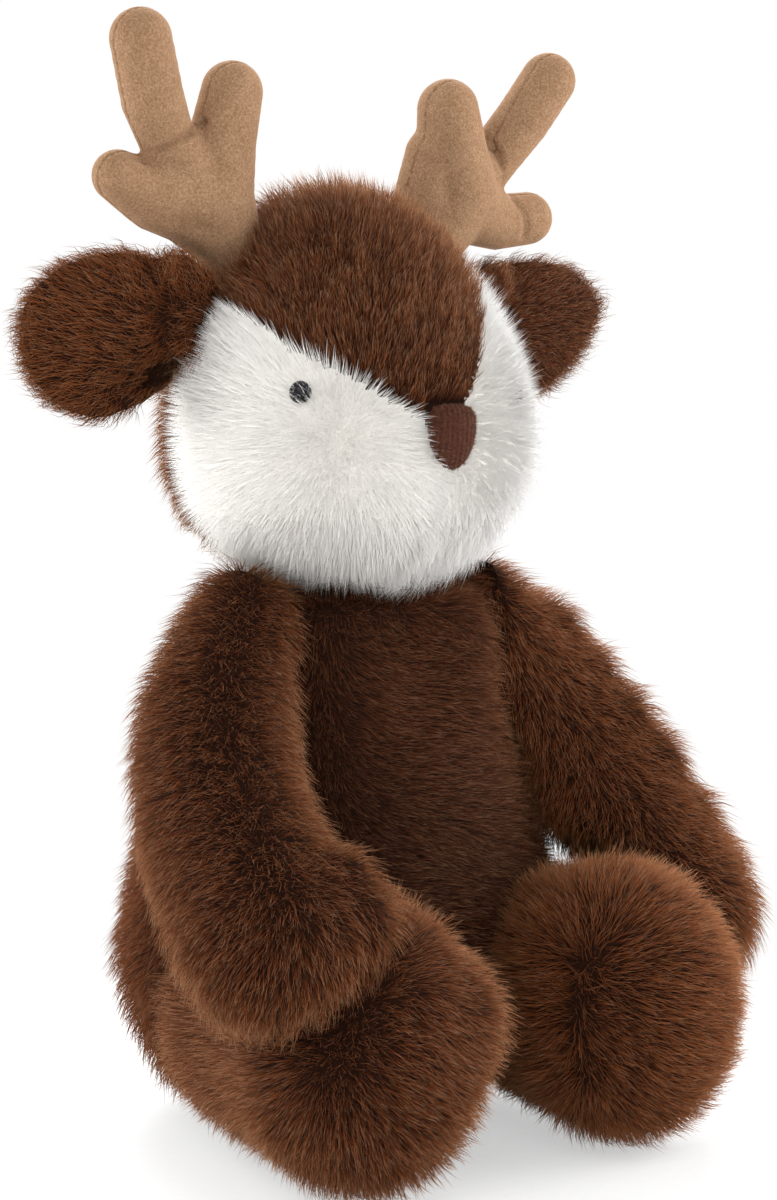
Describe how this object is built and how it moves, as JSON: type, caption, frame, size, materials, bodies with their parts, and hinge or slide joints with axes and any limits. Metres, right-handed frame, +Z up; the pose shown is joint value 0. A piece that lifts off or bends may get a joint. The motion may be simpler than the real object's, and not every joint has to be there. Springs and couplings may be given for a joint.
{
  "type": "plush deer",
  "caption": "Seated long-pile plush deer with a white muzzle, short-pile antlers, bead eyes and hinged head, limbs, ears and tail.",
  "frame": {"origin": "middle of the flat seat under the body, on the floor the toy sits on", "axes": "+Z up, the toy faces -Y, and +X is the toy's own left"},
  "size_m": [0.2143, 0.2053, 0.3306],
  "materials": {
    "brown_fur": "long silky pile on a knitted back",
    "white_fur": "long silky pile on a knitted back",
    "antler_velvet": "short dense velvet pile",
    "nose_pile": "short ribbed pile",
    "bead_plastic": "moulded and polished",
    "washer_plastic": "as moulded",
    "fibre": "loose polyester fibre",
    "bean_linen": "plain weave bag filled with pellets"
  },
  "bodies": {
    "body": {"seat_panel": "brown_fur", "body_front_panel": "brown_fur", "body_back_left_panel": "brown_fur", "body_back_right_panel": "brown_fur", "bean_pouch": "bean_linen", "body_stuffing": "fibre"},
    "head": {"head_back_panel": "brown_fur", "cheek_right_panel": "white_fur", "cheek_left_panel": "white_fur", "blaze_panel": "brown_fur", "head_stuffing": "fibre", "nose": "nose_pile", "eye_right": "bead_plastic", "eye_left": "bead_plastic", "eye_washer_right": "washer_plastic", "eye_washer_left": "washer_plastic", "antler_right_front_panel": "antler_velvet", "antler_right_back_panel": "antler_velvet", "antler_right_stuffing": "fibre", "antler_left_front_panel": "antler_velvet", "antler_left_back_panel": "antler_velvet", "antler_left_stuffing": "fibre"},
    "ear_right": {"ear_right_front_panel": "brown_fur", "ear_right_back_panel": "brown_fur"},
    "ear_left": {"ear_left_front_panel": "brown_fur", "ear_left_back_panel": "brown_fur"},
    "arm_right": {"arm_right_inner_panel": "brown_fur", "arm_right_outer_panel": "brown_fur", "arm_right_stuffing": "fibre"},
    "arm_left": {"arm_left_inner_panel": "brown_fur", "arm_left_outer_panel": "brown_fur", "arm_left_stuffing": "fibre"},
    "leg_right": {"leg_right_inner_panel": "brown_fur", "leg_right_outer_panel": "brown_fur", "leg_right_stuffing": "fibre"},
    "leg_left": {"leg_left_inner_panel": "brown_fur", "leg_left_outer_panel": "brown_fur", "leg_left_stuffing": "fibre"},
    "tail": {"tail_upper_panel": "brown_fur", "tail_lower_panel": "white_fur"}
  },
  "joints": [
    {"name": "head_turn", "type": "hinge", "parent": "body", "child": "head", "pos_m": [0, 0, 0.162], "axis": [0, 0, 1], "range_deg": [-30, 30]},
    {"name": "shoulder_right", "type": "hinge", "parent": "body", "child": "arm_right", "pos_m": [-0.04, -0.009, 0.156], "axis": [-1, 0, 0], "range_deg": [0, 60]},
    {"name": "shoulder_left", "type": "hinge", "parent": "body", "child": "arm_left", "pos_m": [0.04, -0.009, 0.156], "axis": [-1, 0, 0], "range_deg": [0, 75]},
    {"name": "hip_right", "type": "hinge", "parent": "body", "child": "leg_right", "pos_m": [-0.046, -0.01, 0], "axis": [1, 0, 0], "range_deg": [0, 80]},
    {"name": "hip_left", "type": "hinge", "parent": "body", "child": "leg_left", "pos_m": [0.046, -0.01, 0], "axis": [1, 0, 0], "range_deg": [0, 80]},
    {"name": "ear_flap_right", "type": "hinge", "parent": "head", "child": "ear_right", "pos_m": [-0.0505, 0.008, 0.2385], "axis": [0.2924, 0, 0.9563], "range_deg": [-15, 15], "stiffness_Nm_per_rad": 0.006},
    {"name": "ear_flap_left", "type": "hinge", "parent": "head", "child": "ear_left", "pos_m": [0.0505, 0.008, 0.2385], "axis": [-0.2924, 0, 0.9563], "range_deg": [-15, 15], "stiffness_Nm_per_rad": 0.006},
    {"name": "tail_wag", "type": "hinge", "parent": "body", "child": "tail", "pos_m": [0, 0.059, 0.038], "axis": [1, 0, 0], "range_deg": [0, 15], "stiffness_Nm_per_rad": 0.002}
  ]
}
